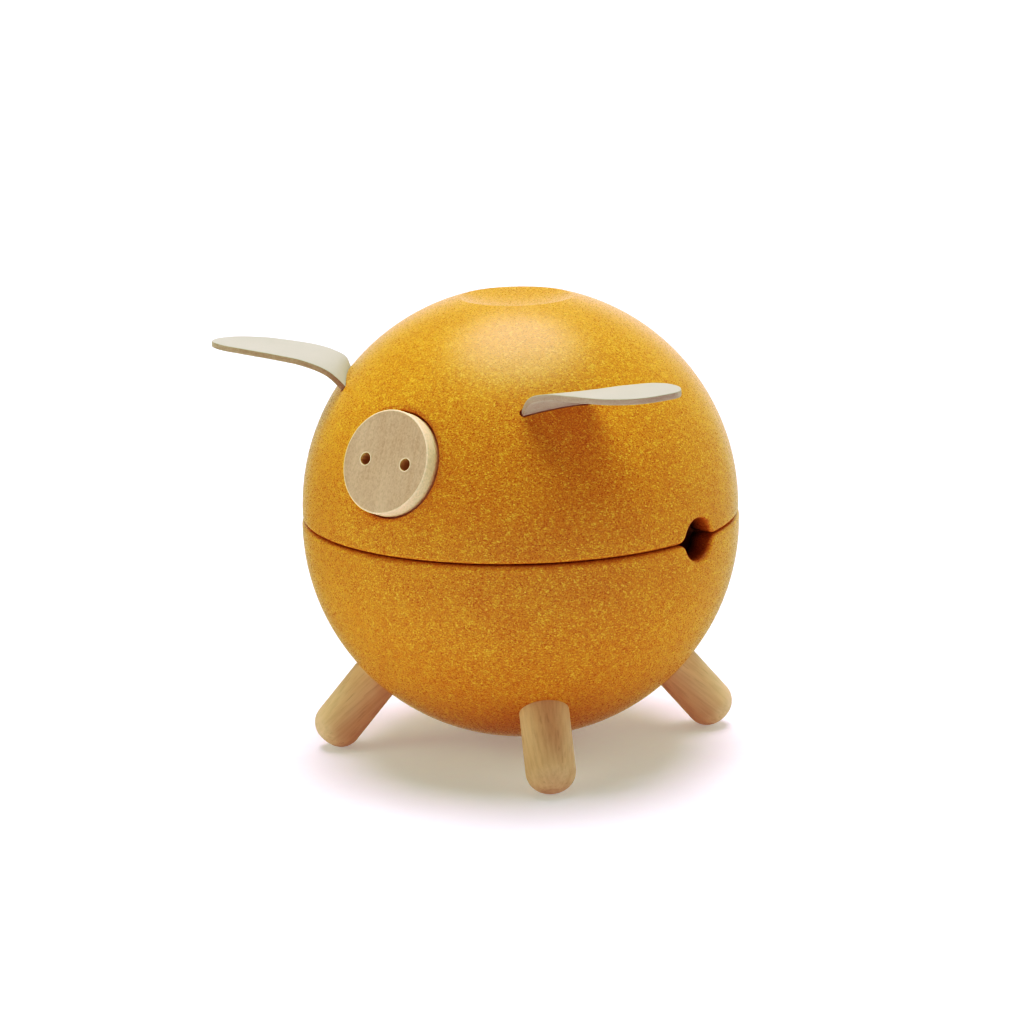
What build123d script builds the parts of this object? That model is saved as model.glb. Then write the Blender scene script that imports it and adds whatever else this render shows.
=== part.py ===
"""Pig-shaped money box: a hollow ball of pressed wood in two halves, on four dowel legs.

Frame: origin on the floor under the ball's upright axis, +Z up, face towards -Y,
the pig's own left side towards +X. Millimetres.
"""

from build123d import *
import os
from math import acos, asin, cos, degrees, radians, sin, sqrt

# ---------------------------------------------------------------- driving dimensions
LOWER_RADIUS = 55.0        # outside of the lower half
UPPER_RADIUS = 54.8        # outside of the upper half, a hair smaller
INNER_RADIUS = 48.0        # hollow of both halves
BALL_STRETCH = 1.9         # each half's sphere is centred this far from the seam, so the ball is taller than wide
RIM_GAP = 0.15             # each rim face's distance from the seam plane
RIM_ROUND = 1.1            # rounding of both rims' outer edges

DISH_RADIUS = 14.0         # shallow thumb dish on the crown
DISH_DEPTH = 2.2
DISH_ROUND = 1.2

NOTCH_RADIUS = 5.2         # finger hole shared by both rims, one on each flank
NOTCH_FLARE = 2.8          # rounding where the hole runs out into the seam

RING_OUTER = 48.55         # register ring, glued in the lower half, a running fit in the upper half
RING_INNER = 44.5
RING_BORE = 48.6
RING_BOTTOM = -10.0        # heights measured from the seam
RING_TOP = 9.0
RING_LEAD = 0.4
RING_NOTCH_RADIUS = 6.3    # the ring stays clear of the finger holes
KEY_WIDTH = 6.0            # rib at the back of the ring, which keeps face and finger holes in line
KEY_HEIGHT = 1.4
KEY_CLEARANCE = 0.2

COIN_SLOT_LENGTH = 28.0
COIN_SLOT_WIDTH = 4.6
COIN_SLOT_CENTRE = 31.0    # behind the ball's axis
COIN_SLOT_ROUND = 0.7

SNOUT_RADIUS = 12.7
SNOUT_RISE = 21.8          # degrees above level
SNOUT_FACE = 56.1          # distances along the snout's axis from the upper sphere's centre
SNOUT_SEAT = 50.6
SNOUT_CLEARANCE = 0.3
SNOUT_SEAT_ROUND = 1.2
SNOUT_EASE = 0.35
NOSTRIL_RADIUS = 1.5
NOSTRIL_SPACING = 12.2
NOSTRIL_DEPTH = 4.0

LEG_RADIUS = 6.15
LEG_TILT = 40.0            # degrees from upright
LEG_MEETING_HEIGHT = 3.7   # the four leg axes meet this far above the seam
LEG_INNER_END = 52.3       # distances along a leg's axis from that meeting point
LEG_TIP = 79.65
LEG_END_ROUND = 5.2
LEG_INNER_EASE = 0.5

EAR_THICKNESS = 1.5
EAR_ROOT_WIDTH = 17.0
EAR_ROOT = Vector(32.7, -27.4, 35.3)         # middle of the left ear's slot on the ball, z from the seam
EAR_ROOT_LINE = Vector(0.586, 0.802, 0.119)  # along the slot, towards the back
EAR_TAB_RISE = 48.0                          # degrees above level where the ear leaves its slot
EAR_TAB_LENGTH = 9.0
EAR_SLOT_LENGTH = 18.2
EAR_SLOT_WIDTH = 2.1
# the left ear's leaf from just outside the slot to the tip: the middle of its width, the half width,
# and how much higher its front edge is than its rear edge
EAR_STATIONS = [
    ((35.3, -27.6, 38.4), 8.4, -1.0),
    ((40.5, -28.1, 39.9), 9.5, 0.3),
    ((47.8, -28.8, 40.8), 10.1, 0.6),
    ((56.5, -29.5, 41.3), 9.9, 0.7),
    ((64.0, -30.2, 41.9), 8.2, 0.7),
    ((68.7, -30.8, 42.3), 4.9, 0.6),
    ((70.2, -31.0, 42.4), 3.0, 0.4),
    ((71.0, -31.0, 42.4), 1.0, 0.2),
]

# ---------------------------------------------------------------- heights and planes that follow
foot_drop = (
    (LEG_TIP - LEG_END_ROUND) * cos(radians(LEG_TILT))
    + (LEG_RADIUS - LEG_END_ROUND) * sin(radians(LEG_TILT))
    + LEG_END_ROUND
)
SEAM_HEIGHT = foot_drop - LEG_MEETING_HEIGHT
UPPER_CENTRE = Vector(0, 0, SEAM_HEIGHT + BALL_STRETCH)

SECTION_AZIMUTH = 112.5    # the turned halves start and end here, away from every opening
section_plane = Plane(
    origin=(0, 0, SEAM_HEIGHT),
    x_dir=(cos(radians(SECTION_AZIMUTH)), sin(radians(SECTION_AZIMUTH)), 0),
    z_dir=(sin(radians(SECTION_AZIMUTH)), -cos(radians(SECTION_AZIMUTH)), 0),
)
flank_plane = Plane(origin=(0, 0, SEAM_HEIGHT), x_dir=(0, 1, 0), z_dir=(1, 0, 0))
snout_plane = Plane(
    origin=UPPER_CENTRE,
    x_dir=(1, 0, 0),
    z_dir=(0, -cos(radians(SNOUT_RISE)), sin(radians(SNOUT_RISE))),
)
leg_azimuths = {"front_left": -45, "front_right": -135, "rear_left": 45, "rear_right": 135}


def leg_plane(azimuth):
    """Plane across one leg, at the point where the four leg axes meet."""
    tilt = radians(LEG_TILT)
    outward = radians(azimuth)
    return Plane(
        origin=(0, 0, SEAM_HEIGHT + LEG_MEETING_HEIGHT),
        x_dir=(-sin(outward), cos(outward), 0),
        z_dir=(sin(tilt) * cos(outward), sin(tilt) * sin(outward), -cos(tilt)),
    )


def ear_directions():
    """Unit vectors of the left ear: along its root line, level outward, and square to both."""
    along = EAR_ROOT_LINE.normalized()
    outward = Vector(along.Y, -along.X, 0).normalized()
    return along, outward, along.cross(outward) * -1


def ear_slot_plane(side):
    """Plane across an ear's slot; side is +1 for the pig's left ear and -1 for its right."""
    along, outward, upward = ear_directions()
    rise = radians(EAR_TAB_RISE)
    leaving = outward * cos(rise) + upward * sin(rise)
    return Plane(
        origin=(side * EAR_ROOT.X, EAR_ROOT.Y, SEAM_HEIGHT + EAR_ROOT.Z),
        x_dir=(side * along.X, along.Y, along.Z),
        z_dir=(side * leaving.X, leaving.Y, leaving.Z),
    )


def sphere_reach(radius, height):
    """Radius of a sphere's horizontal section at this height from its centre."""
    return sqrt(radius**2 - height**2)


def save(piece, name):
    """Label a finished piece and write its STEP file."""
    piece.part.label = name
    export_step(piece.part, f"parts/{name}.step")


os.makedirs("parts", exist_ok=True)

# ---------------------------------------------------------------- upper shell
crown_angle = degrees(acos(DISH_RADIUS / UPPER_RADIUS))
rim_angle = -degrees(asin((BALL_STRETCH - RIM_GAP) / UPPER_RADIUS))
dish_curve = (DISH_RADIUS**2 + DISH_DEPTH**2) / (2 * DISH_DEPTH)
dish_floor = BALL_STRETCH + sphere_reach(UPPER_RADIUS, DISH_RADIUS) - DISH_DEPTH
dish_angle = degrees(asin(DISH_RADIUS / dish_curve))
shoulder_reach = sphere_reach(INNER_RADIUS, RING_TOP - BALL_STRETCH)
shoulder_angle = degrees(asin((RING_TOP - BALL_STRETCH) / INNER_RADIUS))

with BuildPart() as upper_shell:
    with BuildSketch(section_plane) as upper_section:
        with BuildLine():
            dome = CenterArc((0, BALL_STRETCH), UPPER_RADIUS, rim_angle, crown_angle - rim_angle)
            CenterArc((0, dish_floor + dish_curve), dish_curve, -90, dish_angle)
            Line((0, dish_floor), (0, BALL_STRETCH + INNER_RADIUS))
            CenterArc((0, BALL_STRETCH), INNER_RADIUS, shoulder_angle, 90 - shoulder_angle)
            Line((shoulder_reach, RING_TOP), (RING_BORE, RING_TOP))
            Line((RING_BORE, RING_TOP), (RING_BORE, RIM_GAP))
            Line((RING_BORE, RIM_GAP), dome @ 0)
        make_face()
        fillet(upper_section.vertices().sort_by(Axis.Y)[-1], DISH_ROUND)
    revolve(axis=Axis.Z)

    # finger holes: the upper half of each, flared into the rim face
    with BuildSketch(flank_plane) as upper_notch:
        Circle(NOTCH_RADIUS)
        with Locations((0, RIM_GAP - NOTCH_RADIUS)):
            Rectangle(4 * NOTCH_RADIUS, 2 * NOTCH_RADIUS)
        fillet(upper_notch.vertices().group_by(Axis.Y)[-1].sort_by(Axis.X)[1:3], NOTCH_FLARE)
    extrude(amount=UPPER_RADIUS + 5, both=True, mode=Mode.SUBTRACT)

    # rim and finger holes rounded in one run on the outside
    outside = upper_shell.edges().filter_by(
        lambda edge: (edge @ 0.5 - UPPER_CENTRE).length > UPPER_RADIUS - 0.01
        and abs((edge @ 0.5).Z - SEAM_HEIGHT) < NOTCH_RADIUS + 0.5
    )
    fillet(outside, RIM_ROUND)

    # groove for the ring's key
    with BuildSketch(Plane.XY.offset(SEAM_HEIGHT)):
        with Locations((0, RING_OUTER)):
            Rectangle(KEY_WIDTH + 2 * KEY_CLEARANCE, 2 * (KEY_HEIGHT + KEY_CLEARANCE))
    extrude(amount=RING_TOP, mode=Mode.SUBTRACT)

    # seat for the snout
    with BuildSketch(snout_plane.offset(SNOUT_SEAT)):
        Circle(SNOUT_RADIUS + SNOUT_CLEARANCE)
    extrude(amount=INNER_RADIUS, mode=Mode.SUBTRACT)
    seat_edge = upper_shell.edges().sort_by_distance(snout_plane.offset(SNOUT_FACE).origin)[0]
    fillet(seat_edge, SNOUT_SEAT_ROUND)

    # slots for the ears
    for side in (1, -1):
        with BuildSketch(ear_slot_plane(side)):
            SlotOverall(EAR_SLOT_LENGTH, EAR_SLOT_WIDTH)
        extrude(amount=EAR_TAB_LENGTH + 4, both=True, mode=Mode.SUBTRACT)

    # coin slot along the spine, cut straight down
    with BuildSketch(Plane.XY.offset(SEAM_HEIGHT + RING_TOP + BALL_STRETCH)):
        with Locations(Location((0, COIN_SLOT_CENTRE), 90)):
            SlotOverall(COIN_SLOT_LENGTH, COIN_SLOT_WIDTH)
    extrude(amount=UPPER_RADIUS, mode=Mode.SUBTRACT)
    slot_edges = upper_shell.edges().filter_by(
        lambda edge: (edge @ 0.5 - UPPER_CENTRE).length > UPPER_RADIUS - 0.01
        and abs((edge @ 0.5).X) <= COIN_SLOT_WIDTH
        and abs((edge @ 0.5).Y - COIN_SLOT_CENTRE) <= COIN_SLOT_LENGTH / 2 + 0.01
    )
    fillet(slot_edges, COIN_SLOT_ROUND)
save(upper_shell, "upper_shell")

# ---------------------------------------------------------------- lower shell
lower_rim_angle = degrees(asin((BALL_STRETCH - RIM_GAP) / LOWER_RADIUS))
seat_reach = sphere_reach(INNER_RADIUS, RING_BOTTOM + BALL_STRETCH)
seat_angle = degrees(asin((RING_BOTTOM + BALL_STRETCH) / INNER_RADIUS))
lower_centre = Vector(0, 0, SEAM_HEIGHT - BALL_STRETCH)

with BuildPart() as lower_shell:
    with BuildSketch(section_plane):
        with BuildLine():
            bowl = CenterArc((0, -BALL_STRETCH), LOWER_RADIUS, -90, 90 + lower_rim_angle)
            Line(bowl @ 1, (RING_BORE, -RIM_GAP))
            Line((RING_BORE, -RIM_GAP), (RING_BORE, RING_BOTTOM))
            Line((RING_BORE, RING_BOTTOM), (seat_reach, RING_BOTTOM))
            CenterArc((0, -BALL_STRETCH), INNER_RADIUS, -90, 90 + seat_angle)
            Line((0, -BALL_STRETCH - INNER_RADIUS), bowl @ 0)
        make_face()
    revolve(axis=Axis.Z)

    # finger holes: the lower half of each, flared into the rim face
    with BuildSketch(flank_plane) as lower_notch:
        Circle(NOTCH_RADIUS)
        with Locations((0, NOTCH_RADIUS - RIM_GAP)):
            Rectangle(4 * NOTCH_RADIUS, 2 * NOTCH_RADIUS)
        fillet(lower_notch.vertices().group_by(Axis.Y)[0].sort_by(Axis.X)[1:3], NOTCH_FLARE)
    extrude(amount=LOWER_RADIUS + 5, both=True, mode=Mode.SUBTRACT)

    outside = lower_shell.edges().filter_by(
        lambda edge: (edge @ 0.5 - lower_centre).length > LOWER_RADIUS - 0.01
        and abs((edge @ 0.5).Z - SEAM_HEIGHT) < NOTCH_RADIUS + 0.5
    )
    fillet(outside, RIM_ROUND)

    # sockets for the legs, right through the wall
    for azimuth in leg_azimuths.values():
        with BuildSketch(leg_plane(azimuth)):
            Circle(LEG_RADIUS)
        extrude(amount=LEG_TIP, mode=Mode.SUBTRACT)
save(lower_shell, "lower_shell")

# ---------------------------------------------------------------- register ring
with BuildPart() as register_ring:
    with BuildSketch(section_plane) as ring_section:
        with Locations(((RING_INNER + RING_OUTER) / 2, (RING_BOTTOM + RING_TOP) / 2)):
            Rectangle(RING_OUTER - RING_INNER, RING_TOP - RING_BOTTOM)
        chamfer(ring_section.vertices().group_by(Axis.Y)[-1], RING_LEAD)
    revolve(axis=Axis.Z)
    with BuildSketch(Plane.XY.offset(SEAM_HEIGHT + RIM_GAP)):
        with Locations((0, RING_OUTER)):
            Rectangle(KEY_WIDTH, 2 * KEY_HEIGHT)
    extrude(amount=RING_TOP - RIM_GAP - RING_LEAD)
    with BuildSketch(flank_plane):
        Circle(RING_NOTCH_RADIUS)
    extrude(amount=LOWER_RADIUS, both=True, mode=Mode.SUBTRACT)
save(register_ring, "register_ring")

# ---------------------------------------------------------------- legs
for place, azimuth in leg_azimuths.items():
    with BuildPart() as leg:
        with BuildSketch(leg_plane(azimuth).offset(LEG_INNER_END)):
            Circle(LEG_RADIUS)
        extrude(amount=LEG_TIP - LEG_INNER_END)
        fillet(leg.faces().sort_by(Axis.Z)[0].edges(), LEG_END_ROUND)
        chamfer(leg.faces().sort_by(Axis.Z)[-1].edges(), LEG_INNER_EASE)
    save(leg, f"leg_{place}")

# ---------------------------------------------------------------- snout
with BuildPart() as snout:
    with BuildSketch(snout_plane.offset(SNOUT_SEAT)):
        Circle(SNOUT_RADIUS)
    extrude(amount=SNOUT_FACE - SNOUT_SEAT)
    fillet(snout.edges().sort_by(Axis(snout_plane.origin, snout_plane.z_dir))[-1], SNOUT_EASE)
    with BuildSketch(snout_plane.offset(SNOUT_FACE)):
        with GridLocations(NOSTRIL_SPACING, 0, 2, 1):
            Circle(NOSTRIL_RADIUS)
    extrude(amount=-NOSTRIL_DEPTH, mode=Mode.SUBTRACT)
save(snout, "snout")

# ---------------------------------------------------------------- ears
# Each ear is one leather leaf. Its tab goes through the slot, and outside it arches over to nearly level.
root_plane = ear_slot_plane(1)
station_spots = [Vector(spot) + Vector(0, 0, SEAM_HEIGHT) for spot, _, _ in EAR_STATIONS]
leaf_path = [root_plane.origin, *station_spots]

with BuildPart() as ear_left:
    for depth in (EAR_TAB_LENGTH, EAR_TAB_LENGTH * 2 / 3, EAR_TAB_LENGTH / 3, 0):
        with BuildSketch(root_plane.offset(-depth)):
            Rectangle(EAR_ROOT_WIDTH, EAR_THICKNESS)
    for number, (_, half_width, lift) in enumerate(EAR_STATIONS, start=1):
        ahead = leaf_path[min(number + 1, len(EAR_STATIONS))]
        onward = (ahead - leaf_path[number - 1]).normalized()
        across = Vector(0, 2 * half_width, -lift)
        across = (across - onward * across.dot(onward)).normalized()
        with BuildSketch(Plane(origin=leaf_path[number], x_dir=across, z_dir=onward)):
            Rectangle(2 * half_width, EAR_THICKNESS)
    loft()
save(ear_left, "ear_left")

with BuildPart() as ear_right:
    mirror(ear_left.part, about=Plane.YZ)
save(ear_right, "ear_right")
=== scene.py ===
"""The looks of a wooden pig money box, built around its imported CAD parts.

The ball halves, ring, legs and snout are shown as the CAD made them, with wood shaders of their own.
The two ears are modelled here as cut and bent leather leaves, and stand for the plain CAD ears.
"""

import math

import bpy
from mathutils import Matrix, Vector


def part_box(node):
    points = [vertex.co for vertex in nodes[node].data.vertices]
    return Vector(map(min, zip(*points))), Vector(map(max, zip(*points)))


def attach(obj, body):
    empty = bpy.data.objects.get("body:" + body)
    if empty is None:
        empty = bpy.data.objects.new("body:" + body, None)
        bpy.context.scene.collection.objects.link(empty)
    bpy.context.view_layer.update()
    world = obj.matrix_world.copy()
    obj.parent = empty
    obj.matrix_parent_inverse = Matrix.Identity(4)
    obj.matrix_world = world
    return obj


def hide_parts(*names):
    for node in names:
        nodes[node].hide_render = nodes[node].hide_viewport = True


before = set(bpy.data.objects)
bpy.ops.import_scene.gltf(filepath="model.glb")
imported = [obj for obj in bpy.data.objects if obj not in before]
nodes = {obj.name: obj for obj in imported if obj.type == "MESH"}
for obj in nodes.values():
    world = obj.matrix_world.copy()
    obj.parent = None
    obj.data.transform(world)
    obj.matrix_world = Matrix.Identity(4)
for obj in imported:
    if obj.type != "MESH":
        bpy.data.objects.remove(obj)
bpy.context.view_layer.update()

MM = 0.001

# The photo's view: from in front of the pig's left side, a little above the seam. Angles are in degrees.
SEAM_HEIGHT = 0.059142
VIEW_AZIMUTH = 37.9
VIEW_ELEVATION = 13.69
VIEW_ROLL = -1.25
VIEW_DISTANCE = 0.8
LENS = 112.0
SENSOR = 36.0
SHIFT_X = -0.01035
SHIFT_Y = 0.0006


# ---------------------------------------------------------------- shaders


class Nodes:
    """A node tree that starts empty, with a short call for each kind of node used here."""

    def __init__(self, tree):
        self.tree = tree
        self.tree.nodes.clear()

    def add(self, kind, inputs=None, **settings):
        node = self.tree.nodes.new(kind)
        for name, value in settings.items():
            setattr(node, name, value)
        for name, value in (inputs or {}).items():
            if isinstance(value, bpy.types.NodeSocket):
                self.tree.links.new(value, node.inputs[name])
            else:
                node.inputs[name].default_value = value
        return node

    def frame(self, origin, turn):
        """The place seen from a frame of its own: turn's columns are its axes."""
        inputs = {"Vector": self.place, "Location": origin, "Rotation": turn.to_euler()}
        return self.add("ShaderNodeMapping", inputs, vector_type="TEXTURE").outputs[0]

    def stretch(self, place, scale, turn=(0, 0, 0)):
        """The place turned, then scaled: a pattern grows long along an axis with a small scale."""
        turned = self.add("ShaderNodeMapping", {"Vector": place, "Rotation": turn}).outputs[0]
        return self.add("ShaderNodeMapping", {"Vector": turned, "Scale": scale}).outputs[0]

    def noise(self, place, scale, detail=3.0, roughness=0.55, output="Fac"):
        inputs = {"Vector": place, "Scale": scale, "Detail": detail, "Roughness": roughness}
        return self.add("ShaderNodeTexNoise", inputs).outputs[output]

    def cells(self, place, scale, output, **settings):
        """A cell pattern: Color is one colour for each cell, Distance is how far its middle or edge is."""
        return self.add("ShaderNodeTexVoronoi", {"Vector": place, "Scale": scale}, **settings).outputs[output]

    def warp(self, place, scale, reach):
        """The place shaken by a noise of that scale, by up to about reach metres."""
        shake = self.noise(place, scale, 2.0, output="Color")
        centred = self.vector("SUBTRACT", shake, (0.5, 0.5, 0.5))
        return self.vector("ADD", place, self.vector("SCALE", centred, Scale=2 * reach))

    def chips(self, place, scale):
        """A number from 0 to 1 for each irregular chip, the same all over the chip."""
        colour = self.cells(place, scale, "Color")
        return self.add("ShaderNodeSeparateColor", {"Color": colour}).outputs[0]

    def vector(self, operation, first, second=None, **inputs):
        node = self.add("ShaderNodeVectorMath", {0: first, **inputs}, operation=operation)
        if isinstance(second, bpy.types.NodeSocket):
            self.tree.links.new(second, node.inputs[1])
        elif second is not None:
            node.inputs[1].default_value = second
        return node.outputs["Value" if operation in ("LENGTH", "DOT_PRODUCT") else "Vector"]

    def length(self, x, y):
        """The length of the flat vector (x, y)."""
        return self.vector("LENGTH", self.add("ShaderNodeCombineXYZ", {0: x, 1: y}).outputs[0])

    def math(self, operation, first, second=0.0, third=0.0, clamp=False):
        inputs = {0: first, 1: second, 2: third}
        return self.add("ShaderNodeMath", inputs, operation=operation, use_clamp=clamp).outputs[0]

    def fall(self, value, high, low):
        """1 where the value is low or less, down to 0 where it is high or more."""
        return self.math("MULTIPLY_ADD", value, 1 / (low - high), high / (high - low), clamp=True)

    def ramp(self, value, stops, smooth=False):
        """A colour, or a grey, for each value: stops are (position, colour or grey)."""
        node = self.add("ShaderNodeValToRGB", {"Fac": value})
        node.color_ramp.interpolation = "EASE" if smooth else "LINEAR"
        elements = node.color_ramp.elements
        while len(elements) < len(stops):
            elements.new(1.0)
        for element, (position, colour) in zip(elements, stops):
            shade = (colour,) * 3 if isinstance(colour, (int, float)) else colour
            element.position = position
            element.color = (*shade, 1.0)
        return node.outputs["Color"]

    def mix(self, amount, first, second, mode="MIX"):
        node = self.add("ShaderNodeMix", data_type="RGBA", blend_type=mode)
        for index, value in ((0, amount), (6, first), (7, second)):
            if isinstance(value, bpy.types.NodeSocket):
                self.tree.links.new(value, node.inputs[index])
            else:
                node.inputs[index].default_value = value if index == 0 else (*value, 1.0)
        return node.outputs[2]

    def bump(self, height, strength, depth, under=None):
        inputs = {"Height": height, "Strength": strength, "Distance": depth}
        if under is not None:
            inputs["Normal"] = under
        return self.add("ShaderNodeBump", inputs).outputs[0]


class Shader(Nodes):
    """One material. Every pattern is placed in the row frame's metres, so it moves with its piece."""

    def __init__(self, name, specular=0.5):
        self.material = bpy.data.materials.new(name)
        self.material.use_nodes = True
        super().__init__(self.material.node_tree)
        self.surface = self.add("ShaderNodeBsdfPrincipled")
        self.surface.inputs["Specular IOR Level"].default_value = specular
        output = self.add("ShaderNodeOutputMaterial")
        self.tree.links.new(self.surface.outputs["BSDF"], output.inputs["Surface"])
        self.place = self.add("ShaderNodeTexCoord").outputs["Object"]

    def finish(self, **sockets):
        """The material, with each of these values linked to the surface socket of that name."""
        for name, value in sockets.items():
            self.tree.links.new(value, self.surface.inputs[name.replace("_", " ")])
        return self.material


# The chips in the pressed fibre, from the darkest to the lightest.
CHIP_COLOURS = [
    (0.0, (0.40, 0.105, 0.022)), (0.14, (0.49, 0.155, 0.027)), (0.30, (0.58, 0.215, 0.032)),
    (0.74, (0.64, 0.265, 0.036)), (0.90, (0.74, 0.40, 0.06)), (1.0, (0.88, 0.60, 0.15)),
]
GRIT_SHADES = [(0.25, 0.65), (0.5, 1.0), (0.75, 1.35)]
CLOUD_TINTS = [(0.3, (0.94, 0.88, 0.85)), (0.7, (1.04, 1.09, 1.05))]

# The finger holes' walls lie this near the holes' axis. Painted shade darkens them from the ball's outside
# to its hollow, which are these distances from its centre.
HOLE_NEAR, HOLE_CLEAR = 6.2 * MM, 7.6 * MM
WALL_OUTSIDE, WALL_INSIDE = 54.7 * MM, 48.7 * MM
HOLE_WALL_SHADE = [
    (0.0, 1.0), (0.12, (0.86, 0.66, 0.60)), (0.5, (0.58, 0.38, 0.34)), (0.9, (0.08, 0.05, 0.05)),
]


def pressed_wood():
    """Dyed, pressed wood fibre under a satin lacquer: small chips of several yellows in a fine grit, with
    painted shade darkening the finger holes' walls.
    """
    shader = Shader("pressed_wood", specular=0.3)
    place = shader.warp(shader.place, 3000.0, 0.00012)
    lengthwise = shader.stretch(place, (1.0, 0.6, 1.0), (0.5, 0.3, 0.7))
    crosswise = shader.stretch(place, (0.6, 1.0, 1.0), (-0.6, 0.9, 0.2))
    chip = shader.chips(lengthwise, 3900.0)
    fibre = shader.chips(crosswise, 5300.0)
    grit = shader.noise(shader.place, 6000.0, 3.0, 0.7)
    cloud = shader.noise(shader.place, 90.0, 3.0)
    colour = shader.mix(0.45, shader.ramp(chip, CHIP_COLOURS), shader.ramp(fibre, CHIP_COLOURS))
    colour = shader.mix(0.5, colour, shader.ramp(grit, GRIT_SHADES), "MULTIPLY")
    colour = shader.mix(0.5, colour, shader.ramp(cloud, CLOUD_TINTS), "MULTIPLY")
    from_centre = shader.vector("SUBTRACT", shader.place, (0, 0, SEAM_HEIGHT))
    from_axis = shader.vector("LENGTH", shader.vector("MULTIPLY", from_centre, (0, 1, 1)))
    # Painted shade: the finger holes' walls grow darker towards the hollow, as shade falls deeper in them.
    by_hole = shader.fall(from_axis, HOLE_CLEAR, HOLE_NEAR)
    inwards = shader.fall(shader.vector("LENGTH", from_centre), WALL_OUTSIDE, WALL_INSIDE)
    hole_shaded = shader.mix(1.0, colour, shader.ramp(inwards, HOLE_WALL_SHADE), "MULTIPLY")
    colour = shader.mix(by_hole, colour, hole_shaded)
    shine = shader.ramp(fibre, [(0.0, 0.25), (1.0, 0.38)])
    pits = shader.bump(grit, 0.20, 0.0001)
    lumps = shader.bump(fibre, 0.12, 0.0001, pits)
    return shader.finish(Base_Color=colour, Roughness=shine, Normal=lumps)


# Where the tree's heart lies from the middle of a piece of planed wood, and how close its growth rings are.
HEART = (0.021, 0.013, 0.0)
RING_SCALE = 4300.0


def dowel_wood(name, origin, turn, pale, dark, contrast=1.0):
    """Planed wood, its grain along the third axis of turn, as a shader, colour, roughness and relief."""
    shader = Shader(name, specular=0.4)
    local = shader.frame(origin, turn)
    bent = shader.warp(shader.stretch(local, (1.0, 1.0, 0.12)), 160.0, 0.0012)
    from_heart = shader.vector("ADD", shader.vector("MULTIPLY", bent, (1.0, 1.0, 0.0)), HEART)
    rings = shader.math("SINE", shader.math("MULTIPLY", shader.vector("LENGTH", from_heart), RING_SCALE))
    rings = shader.math("MULTIPLY_ADD", rings, 0.5, 0.5)
    streaks = shader.noise(shader.stretch(local, (1.0, 1.0, 0.022)), 1500.0, 4.0, 0.6)
    pores = shader.chips(shader.stretch(local, (1.0, 1.0, 0.09)), 2600.0)
    broad = shader.noise(shader.stretch(local, (1.0, 1.0, 0.2)), 190.0, 2.0)
    streak_shades = [(0.3, 1.0 - 0.30 * contrast), (0.5, 1.0), (0.7, 1.0 + 0.15 * contrast)]
    pore_shades = [(0.0, 1.0 - 0.5 * contrast), (0.07, 1.0), (1.0, 1.03)]
    broad_tints = [(0.3, (0.88, 0.84, 0.80)), (0.7, (1.08, 1.09, 1.1))]
    grain = shader.mix(0.35 * contrast, pale, shader.ramp(rings, [(0.0, pale), (1.0, dark)], smooth=True))
    grain = shader.mix(0.8, grain, shader.ramp(streaks, streak_shades), "MULTIPLY")
    grain = shader.mix(0.6, grain, shader.ramp(pores, pore_shades), "MULTIPLY")
    grain = shader.mix(0.6, grain, shader.ramp(broad, broad_tints), "MULTIPLY")
    shine = shader.ramp(streaks, [(0.3, 0.58), (0.7, 0.44)])
    relief = shader.bump(streaks, 0.22, 0.00015)
    relief = shader.bump(pores, 0.06, 0.0001, relief)
    return shader, grain, shine, relief


def leather_top():
    """Smooth coated leather, with fine pebbling and a little uneven colour."""
    shader = Shader("leather_top", specular=0.35)
    place = shader.warp(shader.place, 700.0, 0.0004)
    pebble = shader.cells(place, 1700.0, "Distance", feature="DISTANCE_TO_EDGE")
    cloud = shader.noise(shader.place, 110.0, 4.0)
    colour = shader.ramp(cloud, [(0.3, (0.485, 0.405, 0.365)), (0.7, (0.515, 0.435, 0.395))])
    colour = shader.mix(0.5, colour, shader.ramp(pebble, [(0.0, 0.90), (0.12, 1.0)]), "MULTIPLY")
    shine = shader.ramp(cloud, [(0.3, 0.50), (0.7, 0.60)])
    relief = shader.bump(pebble, 0.16, 0.0001)
    relief = shader.bump(shader.noise(shader.place, 260.0, 2.0), 0.10, 0.0008, relief)
    return shader.finish(Base_Color=colour, Roughness=shine, Normal=relief)


def leather_raw(name, pale, dark):
    """The uncoated side or cut edge of leather: matt, with short loose fibres."""
    shader = Shader(name, specular=0.15)
    combed = shader.stretch(shader.warp(shader.place, 500.0, 0.0006), (1.0, 0.4, 1.6))
    fibres = shader.noise(combed, 2300.0, 4.0, 0.7)
    cloud = shader.noise(shader.place, 180.0, 3.0)
    colour = shader.ramp(fibres, [(0.3, dark), (0.7, pale)])
    colour = shader.mix(0.6, colour, shader.ramp(cloud, [(0.3, 0.88), (0.7, 1.08)]), "MULTIPLY")
    rough = shader.ramp(fibres, [(0.3, 0.92), (0.7, 0.80)])
    shader.surface.inputs["Sheen Weight"].default_value = 0.15
    shader.surface.inputs["Sheen Roughness"].default_value = 0.5
    return shader.finish(Base_Color=colour, Roughness=rough, Normal=shader.bump(fibres, 0.5, 0.0002))


# ---------------------------------------------------------------- the ball, its ring, the legs and the snout


def dress(node, material):
    mesh = nodes[node].data
    mesh.materials.clear()
    mesh.materials.append(material)


fibreboard = pressed_wood()
for shell in ("upper_shell", "lower_shell"):
    dress(shell, fibreboard)

# Each leg's azimuth, in degrees from +X, and its lean from upright.
LEGS = {"leg_front_left": -45.0, "leg_front_right": -135.0, "leg_rear_left": 45.0, "leg_rear_right": 135.0}
LEG_TILT = 40.0
LEG_CONTRAST = 0.38
LEG_PALE = (0.74, 0.465, 0.305)
LEG_DARK = (0.60, 0.355, 0.22)

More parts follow.
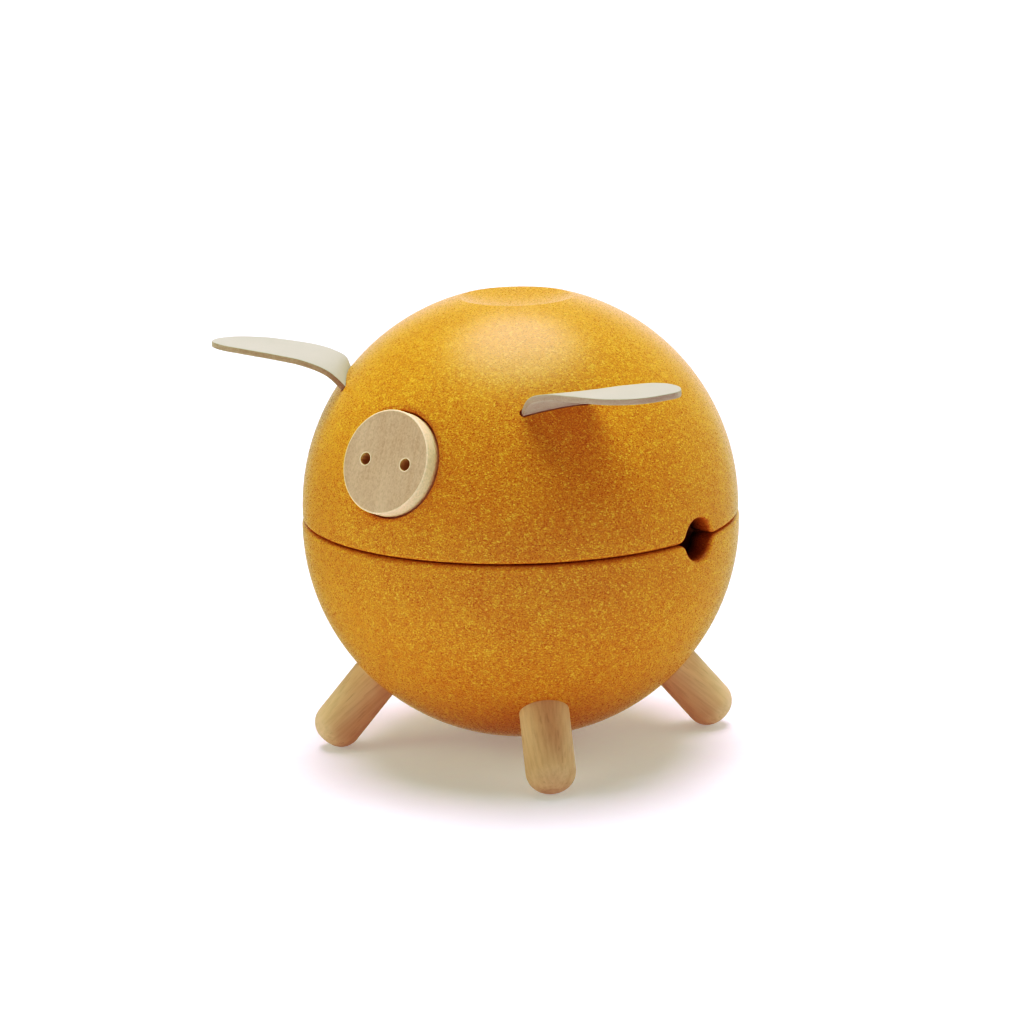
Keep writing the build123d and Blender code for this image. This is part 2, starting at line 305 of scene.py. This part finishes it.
for number, (leg, azimuth) in enumerate(LEGS.items()):
    low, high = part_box(leg)
    # Each leg is its own stretch of dowel, turned about its axis to show another side of the grain.
    about = Matrix.Rotation(math.radians(azimuth), 3, "Z")
    lean = Matrix.Rotation(math.radians(90.0 + LEG_TILT), 3, "Y")
    turn = about @ lean @ Matrix.Rotation(1.3 + 1.7 * number, 3, "Z")
    name = f"dowel_wood_{number + 1}"
    parts = dowel_wood(name, (low + high) / 2, turn, LEG_PALE, LEG_DARK, LEG_CONTRAST)
    shader, grain, shine, relief = parts
    dress(leg, shader.finish(Base_Color=grain, Roughness=shine, Normal=relief))

RING_PALE = (0.20, 0.10, 0.05)
RING_DARK = (0.12, 0.055, 0.025)

ring_turn = Matrix.Rotation(math.radians(90.0), 3, "X")
parts = dowel_wood("ring_wood", (0, 0, SEAM_HEIGHT), ring_turn, RING_PALE, RING_DARK)
shader, grain, shine, relief = parts
dress("register_ring", shader.finish(Base_Color=grain, Roughness=shine, Normal=relief))

# The snout leans back by this many degrees. Its face is this far from the upper half's own centre.
SNOUT_RISE = 21.8
NOSTRIL_REACH = 6.1 * MM
NOSTRIL_RADIUS = 1.53 * MM
SNOUT_FACE = 56.1 * MM
SNOUT_RADIUS = 12.7 * MM
DOME_RISE = 1.9 * MM
SNOUT_PALE = (0.56, 0.345, 0.26)
SNOUT_DARK = (0.455, 0.26, 0.185)
SNOUT_CONTRAST = 0.22
# Painted light: the snout's side band is painted paler and creamier, as if lit from the right.
SNOUT_LIT_SIDE = (0.84, 0.63, 0.44)
FLECK_SHADES = [(0.0, 0.78), (0.5, 1.0), (1.0, 1.14)]
# Painted highlight: a pale ring round each nostril, where its small chamfer would catch the light.
RIM_HIGHLIGHT = (0.97, 0.75, 0.58)
RIM_HIGHLIGHT_WIDTH = 0.16 * MM
SCORCH_COLOUR = (0.62, 0.41, 0.18)
SCORCH_START = 0.15 * MM
ARRIS = 0.35 * MM


def snout_wood():
    """Fine pale wood with its grain upright in the face, and scorched in the two drilled nostrils. Its side
    band is painted paler as painted light, and a painted highlight rings each nostril.
    """
    rise = math.radians(SNOUT_RISE)
    outward = Vector((0, -math.cos(rise), math.sin(rise)))
    upward = Vector((0, math.sin(rise), math.cos(rise)))
    sideways = outward.cross(upward)
    face = Vector((0, 0, SEAM_HEIGHT + DOME_RISE)) + outward * SNOUT_FACE
    # The frame's third axis runs along the grain and its second one out of the face.
    turn = Matrix((sideways, outward, upward)).transposed()
    parts = dowel_wood("snout_wood", face, turn, SNOUT_PALE, SNOUT_DARK, SNOUT_CONTRAST)
    shader, grain, shine, relief = parts
    flecks = shader.chips(shader.stretch(shader.place, (1.0, 1.0, 0.6)), 3200.0)
    grain = shader.mix(0.5, grain, shader.ramp(flecks, FLECK_SHADES), "MULTIPLY")
    side = shader.mix(0.5, SNOUT_LIT_SIDE, shader.ramp(flecks, FLECK_SHADES), "MULTIPLY")
    local = shader.add("ShaderNodeSeparateXYZ", {"Vector": shader.frame(face, turn)})
    across, out, up = local.outputs
    # Painted light: past the arris the side band takes the paler, lit-looking colour.
    on_lit_side = shader.math("GREATER_THAN", shader.length(across, up), SNOUT_RADIUS - ARRIS)
    colour = shader.mix(on_lit_side, grain, side)
    # Both nostrils are masked at once, by the distance from the nearer one's axis.
    aside = shader.math("SUBTRACT", shader.math("ABSOLUTE", across), NOSTRIL_REACH)
    reach = shader.length(aside, up)
    # Painted highlight on each nostril's rim.
    on_highlight_rim = shader.math("LESS_THAN", reach, NOSTRIL_RADIUS + RIM_HIGHLIGHT_WIDTH)
    colour = shader.mix(shader.math("MULTIPLY", on_highlight_rim, 0.7), colour, RIM_HIGHLIGHT)
    inside = shader.math("LESS_THAN", reach, NOSTRIL_RADIUS)
    scorched = shader.math("MULTIPLY", inside, shader.math("LESS_THAN", out, -SCORCH_START))
    colour = shader.mix(shader.math("MULTIPLY", scorched, 0.9), colour, SCORCH_COLOUR)
    return shader.finish(Base_Color=colour, Roughness=shine, Normal=relief)


dress("snout", snout_wood())


# ---------------------------------------------------------------- the ears

# Each ear's two edges from the slot in the ball to the tip, as on the pig's left side: X, Y and height above
# the seam, in mm. The two leaves are bent a little differently, as real leather is.
EAR_EDGES = {
    "left": {
        "front": (
            (31.2, -36.0, 37.9), (37.5, -37.6, 39.8), (46.0, -38.9, 40.5), (56.0, -39.2, 41.0),
            (64.6, -37.6, 41.9), (69.3, -34.2, 42.7),
        ),
        "rear": (
            (39.6, -20.2, 37.8), (44.5, -20.6, 39.4), (51.0, -21.0, 40.8), (58.0, -22.5, 42.2),
            (64.2, -24.8, 43.0), (69.0, -27.8, 43.2),
        ),
        "tip": (70.7, -31.0, 43.0),
    },
    "right": {
        "front": (
            (31.2, -36.0, 37.9), (37.5, -37.6, 40.1), (46.0, -38.9, 41.1), (56.0, -39.4, 41.6),
            (64.6, -38.8, 41.8), (69.4, -36.6, 41.9),
        ),
        "rear": (
            (39.6, -19.8, 38.3), (43.8, -19.4, 39.5), (49.5, -19.2, 40.2), (57.0, -19.9, 40.6),
            (64.4, -22.2, 41.1), (69.7, -27.4, 41.6),
        ),
        "tip": (70.95, -33.0, 41.8),
    },
}
# The left ear's slot in the ball, and its leaf, in mm and degrees as above.
SLOT_MIDDLE = Vector((32.7, -27.4, 35.3))
SLOT_LINE = Vector((0.586, 0.802, 0.119)).normalized()
SLOT_RISE = 48.0
TAB_DEPTHS = (9.0, 6.0, 3.0, 0.0)
TAB_HALF_WIDTH = 8.5
LEAF_THICKNESS = 1.5
EDGE_ROUND = 0.22
CUP = 0.25
STEPS_PER_SPAN = 10
STEPS_ACROSS = 18


def spline(points, steps):
    """Points along a smooth curve through the given ones, with this many steps for each span."""
    padded = [2 * points[0] - points[1], *points, 2 * points[-1] - points[-2]]
    line = []
    for a, b, c, d in zip(padded, padded[1:], padded[2:], padded[3:]):
        # A centripetal Catmull-Rom span, which neither loops nor overshoots where the points are uneven.
        knots = [0.0]
        for p, q in ((a, b), (b, c), (c, d)):
            knots.append(knots[-1] + (q - p).length ** 0.5)
        t0, t1, t2, t3 = knots
        for step in range(steps):
            t = t1 + (t2 - t1) * step / steps
            ab = a.lerp(b, (t - t0) / (t1 - t0))
            bc = b.lerp(c, (t - t1) / (t2 - t1))
            cd = c.lerp(d, (t - t2) / (t3 - t2))
            abc = ab.lerp(bc, (t - t0) / (t2 - t0))
            bcd = bc.lerp(cd, (t - t1) / (t3 - t1))
            line.append(abc.lerp(bcd, (t - t1) / (t2 - t1)))
    line.append(points[-1].copy())
    return line


def leaf_outline(edges):
    """Matching points along the front and rear edges of an ear, from inside the slot to the tip."""
    away = Vector((SLOT_LINE.y, -SLOT_LINE.x, 0)).normalized()
    upward = -SLOT_LINE.cross(away)
    rise = math.radians(SLOT_RISE)
    leaving = away * math.cos(rise) + upward * math.sin(rise)
    tabs = [SLOT_MIDDLE - leaving * depth for depth in TAB_DEPTHS]
    front = [t - SLOT_LINE * TAB_HALF_WIDTH for t in tabs] + [Vector(p) for p in edges["front"]]
    rear = [t + SLOT_LINE * TAB_HALF_WIDTH for t in tabs] + [Vector(p) for p in edges["rear"]]
    # One curve runs out along the front edge, round the tip and back along the rear edge.
    loop = spline(front + [Vector(edges["tip"])] + rear[::-1], STEPS_PER_SPAN)
    half = len(loop) // 2
    return list(zip(loop[:half], loop[::-1][:half]))


def leaf_section(front, rear, upward):
    """One cross-section of the leaf: an upper and a lower row of points, each from the rear to the front."""
    middle = (front + rear) / 2
    across = (front - rear).normalized()
    half = (front - rear).length / 2
    normal = (upward - across * upward.dot(across)).normalized()
    rounding = min(EDGE_ROUND, 0.4 * half)
    steps = [math.cos(math.pi * i / STEPS_ACROSS) for i in range(STEPS_ACROSS, -1, -1)]
    places = [(s * (half - rounding), LEAF_THICKNESS / 2) for s in steps]
    corner = (half - 0.3 * rounding, LEAF_THICKNESS / 2 - 0.3 * rounding)
    side = (half, LEAF_THICKNESS / 2 - rounding)
    places = [(-side[0], side[1]), (-corner[0], corner[1]), *places, corner, side]
    rows = []
    for up in (1, -1):
        row = []
        for shift, rise in places:
            sag = CUP * min(1.0, half / TAB_HALF_WIDTH) * (1 - (shift / half) ** 2)
            row.append(middle + across * shift + normal * (up * rise - sag * cupping(middle)))
        rows.append(row)
    return rows


def cupping(middle):
    """How much of its cup the leaf has: none in the straight slot, all of it once it has bent over."""
    return max(0.0, min(1.0, (middle.x - SLOT_MIDDLE.x - 3.0) / 12.0))


def build_ear(name, edges, mirrored, finishes):
    """One ear as a closed mesh. Its finishes are the materials of the top, the cut edge and the underside."""
    sections = []
    outline = leaf_outline(edges)
    middles = [(front + rear) / 2 for front, rear in outline]
    for index, (front, rear) in enumerate(outline):
        ahead = middles[min(index + 1, len(middles) - 1)] - middles[max(index - 1, 0)]
        upward = (front - rear).cross(ahead)
        sections.append(leaf_section(front, rear, upward if upward.z > 0 else -upward))
    count = len(sections[0][0])
    vertices = [p for rows in sections for row in rows for p in row]
    flip = -1 if mirrored else 1
    vertices = [Vector((flip * p.x * MM, p.y * MM, p.z * MM + SEAM_HEIGHT)) for p in vertices]

    def at(section, row, column):
        return (section * 2 + row) * count + column

    faces, slots = [], []
    top, edge, underside = 0, 1, 2
    last = len(sections) - 1
    for s in range(last):
        for c in range(count - 1):
            # The two columns at each side lie on the rounded corner of the cut edge.
            cut = c < 1 or c >= count - 2
            faces.append((at(s, 0, c), at(s, 0, c + 1), at(s + 1, 0, c + 1), at(s + 1, 0, c)))
            slots.append(edge if cut else top)
            faces.append((at(s, 1, c + 1), at(s, 1, c), at(s + 1, 1, c), at(s + 1, 1, c + 1)))
            slots.append(edge if cut else underside)
        for c, order in ((0, 1), (count - 1, -1)):
            wall = (at(s, 1, c), at(s, 0, c), at(s + 1, 0, c), at(s + 1, 1, c))
            faces.append(wall[::order])
            slots.append(edge)
    for s, order in ((0, 1), (last, -1)):
        for c in range(count - 1):
            cap = (at(s, 1, c), at(s, 1, c + 1), at(s, 0, c + 1), at(s, 0, c))
            faces.append(cap[::order])
            slots.append(edge)
    if mirrored:
        faces = [face[::-1] for face in faces]
    mesh = bpy.data.meshes.new(name)
    mesh.from_pydata(vertices, [], faces)
    for material in finishes:
        mesh.materials.append(material)
    mesh.polygons.foreach_set("material_index", slots)
    mesh.polygons.foreach_set("use_smooth", [True] * len(faces))
    mesh.update()
    ear = bpy.data.objects.new(name, mesh)
    bpy.context.scene.collection.objects.link(ear)
    return ear


LEATHER_TOP = leather_top()
LEATHER_UNDERSIDE = leather_raw("leather_underside", (0.47, 0.34, 0.29), (0.39, 0.275, 0.23))
# The two ears' cut edges are the same leather; the pig's right ear's edge is painted darker and browner, as
# painted shade.
LEATHER_EDGES = {
    "left": leather_raw("leather_edge_left", (0.48, 0.335, 0.285), (0.39, 0.26, 0.22)),
    "right": leather_raw("leather_edge_right_shaded", (0.47, 0.32, 0.24), (0.34, 0.22, 0.15)),
}

for side, mirrored in (("left", False), ("right", True)):
    finishes = (LEATHER_TOP, LEATHER_EDGES[side], LEATHER_UNDERSIDE)
    ear = build_ear(f"leather_ear_{side}", EAR_EDGES[side], mirrored, finishes)
    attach(ear, "lid")
    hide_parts(f"ear_{side}")


# ---------------------------------------------------------------- floor, light and camera

azimuth, elevation = math.radians(VIEW_AZIMUTH), math.radians(VIEW_ELEVATION)
towards_camera = Vector((math.sin(azimuth), -math.cos(azimuth), 0))
camera_right = Vector((math.cos(azimuth), math.sin(azimuth), 0))
above = Vector((0, 0, 1))
centre = Vector((0, 0, SEAM_HEIGHT))

# The room's walls from behind the object, 0, round to the camera's side, 1, and the lights in it.
ROOM_WALLS = [(0.0, 1.0), (0.04, 0.7), (0.10, 0.20), (0.5, 0.10), (1.0, 0.10)]
BLACK, WHITE = (0, 0, 0), (1, 1, 1)
FLOOR_RADIUS = 9.0
FLOOR_GLOW = (1.0, 0.92, 1.0)
FLOOR_GLOW_STRENGTH = 0.18
GLOW_STRENGTH = 0.35
PANEL_TILT = math.radians(13.0)
PANEL_WIDTH = 0.43
PANEL_LENGTH = 0.48
PANEL_STRENGTH = 6.1
PANEL_TINT = (0.91, 1.0, 0.97)
SIDE_TINT = (0.94, 1.0, 0.82)
WARM_FILL = (1.0, 0.77, 0.68)
panel_middle = above * math.cos(PANEL_TILT) - towards_camera * math.sin(PANEL_TILT)
panel_edge = above * math.sin(PANEL_TILT) + towards_camera * math.cos(PANEL_TILT)
glow_middle = (camera_right * 0.75 - towards_camera * 0.6 + above * 0.1).normalized()


def floor():
    shader = Shader("pale_floor", specular=0.1)
    speckle = shader.noise(shader.place, 220.0, 3.0)
    colour = shader.ramp(speckle, [(0.3, (0.83, 0.785, 0.88)), (0.7, (0.85, 0.805, 0.90))])
    rough = shader.ramp(speckle, [(0.3, 0.85), (0.7, 0.95)])
    bpy.ops.mesh.primitive_circle_add(vertices=96, radius=FLOOR_RADIUS, fill_type="NGON")
    plane = bpy.context.object
    plane.name = "floor"
    plane.visible_glossy = False
    # The floor gives off a little light of its own, as a lit table does, so the shadow stays pale.
    shader.surface.inputs["Emission Color"].default_value = (*FLOOR_GLOW, 1.0)
    shader.surface.inputs["Emission Strength"].default_value = FLOOR_GLOW_STRENGTH
    plane.data.materials.append(shader.finish(Base_Color=colour, Roughness=rough))


def soft_room():
    """A dim room with a bright wall behind the object and a wide lit panel overhead, on a white backdrop."""
    world = bpy.data.worlds.new("soft_room")
    bpy.context.scene.world = world
    world.use_nodes = True
    room = Nodes(world.node_tree)
    direction = room.add("ShaderNodeTexCoord").outputs["Generated"]
    facing = room.math("MULTIPLY_ADD", room.vector("DOT_PRODUCT", direction, towards_camera), 0.5, 0.5)
    walls = room.ramp(facing, ROOM_WALLS)
    from_glow = room.vector("DOT_PRODUCT", direction, glow_middle)
    glow = room.ramp(from_glow, [(0.6, 0.0), (0.95, 1.0)], smooth=True)
    across = room.math("DIVIDE", room.vector("DOT_PRODUCT", direction, camera_right), PANEL_WIDTH)
    along = room.math("DIVIDE", room.vector("DOT_PRODUCT", direction, panel_edge), PANEL_LENGTH)
    shape = room.ramp(room.length(across, along), [(0.75, 1.0), (1.0, 0.0)], smooth=True)
    upper_side = room.math("GREATER_THAN", room.vector("DOT_PRODUCT", direction, panel_middle), 0.0)
    panel = room.math("MULTIPLY", shape, upper_side)
    panel_light = room.mix(panel, BLACK, [PANEL_STRENGTH * c for c in PANEL_TINT])
    glow_light = room.mix(glow, BLACK, (GLOW_STRENGTH,) * 3)
    light = room.mix(1.0, room.mix(1.0, walls, panel_light, "ADD"), glow_light, "ADD")
    seen = room.add("ShaderNodeLightPath").outputs["Is Camera Ray"]
    background = room.add("ShaderNodeBackground", {"Color": room.mix(seen, light, WHITE), "Strength": 1.0})
    output = room.add("ShaderNodeOutputWorld")
    room.tree.links.new(background.outputs[0], output.inputs["Surface"])


def softbox(name, direction, distance, size, power, colour):
    """A large soft lamp that lights the object without showing in its gloss."""
    light = bpy.data.lights.new(name, "AREA")
    light.shape = "ELLIPSE"
    light.size, light.size_y = size
    light.energy = power
    light.color = colour
    box = bpy.data.objects.new(name, light)
    bpy.context.scene.collection.objects.link(box)
    box.location = centre + direction.normalized() * distance
    box.rotation_euler = direction.to_track_quat("Z", "Y").to_euler()
    box.visible_glossy = False


floor()
soft_room()
softbox("softbox_above", panel_middle, 1.1, (0.9, 0.7), 2.4, PANEL_TINT)
softbox("softbox_right", camera_right + above * 0.35 + towards_camera * 0.1, 1.2, (0.9, 0.9), 2.0, SIDE_TINT)
softbox("softbox_left", above * 0.3 + towards_camera * 0.2 - camera_right, 1.2, (0.9, 0.9), 3.8, SIDE_TINT)
softbox("softbox_front", towards_camera + above * 0.1, 1.4, (1.3, 1.0), 0.8, WARM_FILL)


def look():
    back = towards_camera * math.cos(elevation) + Vector((0, 0, math.sin(elevation)))
    up = back.cross(camera_right)
    roll = math.radians(VIEW_ROLL)
    right = camera_right * math.cos(roll) + up * math.sin(roll)
    up = back.cross(right)
    lens = bpy.data.cameras.new("camera")
    lens.lens = LENS
    lens.sensor_width = SENSOR
    lens.shift_x = SHIFT_X
    lens.shift_y = SHIFT_Y
    lens.clip_start = 0.01
    camera = bpy.data.objects.new("camera", lens)
    bpy.context.scene.collection.objects.link(camera)
    turn = Matrix((right, up, back)).transposed().to_4x4()
    camera.matrix_world = Matrix.Translation(centre + back * VIEW_DISTANCE) @ turn
    bpy.context.scene.camera = camera


# The colour grade, as (scene level, graded level) for each channel.
GREEN_CURVE = ((0.09, 0.060), (0.15, 0.126), (0.25, 0.275), (0.35, 0.41), (0.5, 0.54), (0.7, 0.70))
BLUE_CURVE = ((0.03, 0.015), (0.08, 0.045), (0.15, 0.115), (0.25, 0.24), (0.4, 0.40), (0.7, 0.70))


def grade():
    """A rich print: green and blue fall off faster than red in the darker tones, and white stays white."""
    view = bpy.context.scene.view_settings
    view.use_curve_mapping = True
    for channel, points in ((1, GREEN_CURVE), (2, BLUE_CURVE)):
        # Curves 0, 1 and 2 are red, green and blue.
        curve = view.curve_mapping.curves[channel]
        for position, level in points:
            curve.points.new(position, level)
    view.curve_mapping.update()


look()
bpy.context.scene.view_settings.view_transform = "Standard"
bpy.context.scene.view_settings.look = "Medium High Contrast"
grade()
